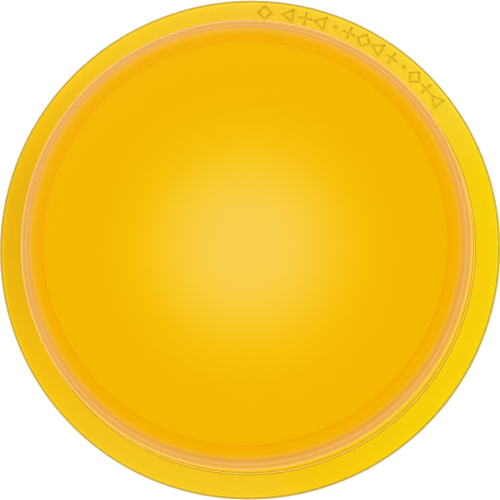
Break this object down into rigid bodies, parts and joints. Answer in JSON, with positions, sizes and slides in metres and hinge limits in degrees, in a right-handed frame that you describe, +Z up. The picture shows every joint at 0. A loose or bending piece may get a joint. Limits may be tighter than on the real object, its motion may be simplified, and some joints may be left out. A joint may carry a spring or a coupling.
{
  "type": "raised pavement marker",
  "caption": "Round surface-mounted road marker: amber flanged lens over a white housing, lit from inside by LEDs and wired through a gland in its underside.",
  "frame": {"origin": "on the marker's axis, in the plane of its underside", "axes": "+Z up, out of the pavement; the board's notch is on the +X side"},
  "size_m": [0.1, 0.1, 0.025],
  "materials": {
    "amber_lens": "clear moulded polycarbonate, polished",
    "opal_diffuser": "opal, fine satin",
    "white_housing": "moulded, fine spark texture",
    "white_reflector": "semi-gloss white",
    "silicone": "cured sealant, satin",
    "board": "white solder mask on glass-epoxy",
    "led_package": "moulded package with yellow gel",
    "chip_epoxy": "black moulded epoxy",
    "ferrite": "sintered, matt",
    "ceramic_body": "fired, satin",
    "capacitor_can": "drawn can, satin",
    "terminal_nylon": "moulded nylon",
    "screw_steel": "stainless, satin",
    "brass": "turned",
    "gland_rubber": "moulded, matt",
    "gland_nylon": "moulded glass-filled nylon"
  },
  "bodies": {
    "root": {"lens": "amber_lens", "lens_sealant": "silicone", "diffuser": "opal_diffuser", "reflector": "white_reflector", "led_board": "board", "led_01": "led_package", "led_02": "led_package", "led_03": "led_package", "led_04": "led_package", "led_05": "led_package", "led_06": "led_package", "led_07": "led_package", "led_08": "led_package", "led_09": "led_package", "led_10": "led_package", "led_11": "led_package", "led_12": "led_package", "led_13": "led_package", "led_14": "led_package", "led_15": "led_package", "led_16": "led_package", "led_17": "led_package", "led_18": "led_package", "led_19": "led_package", "bridge_rectifier": "chip_epoxy", "led_driver": "chip_epoxy", "power_inductor": "ferrite", "input_capacitor": "capacitor_can", "output_capacitor": "capacitor_can", "fuse": "ceramic_body", "surge_varistor": "ceramic_body", "terminal_block": "terminal_nylon", "board_screw_1": "screw_steel", "board_screw_2": "screw_steel", "board_screw_3": "screw_steel", "board_screw_4": "screw_steel", "threaded_insert_1": "brass", "threaded_insert_2": "brass", "threaded_insert_3": "brass", "threaded_insert_4": "brass", "base_housing": "white_housing", "gland_seal": "gland_rubber", "gland_washer": "screw_steel", "gland_nut": "gland_nylon"}
  },
  "joints": []
}
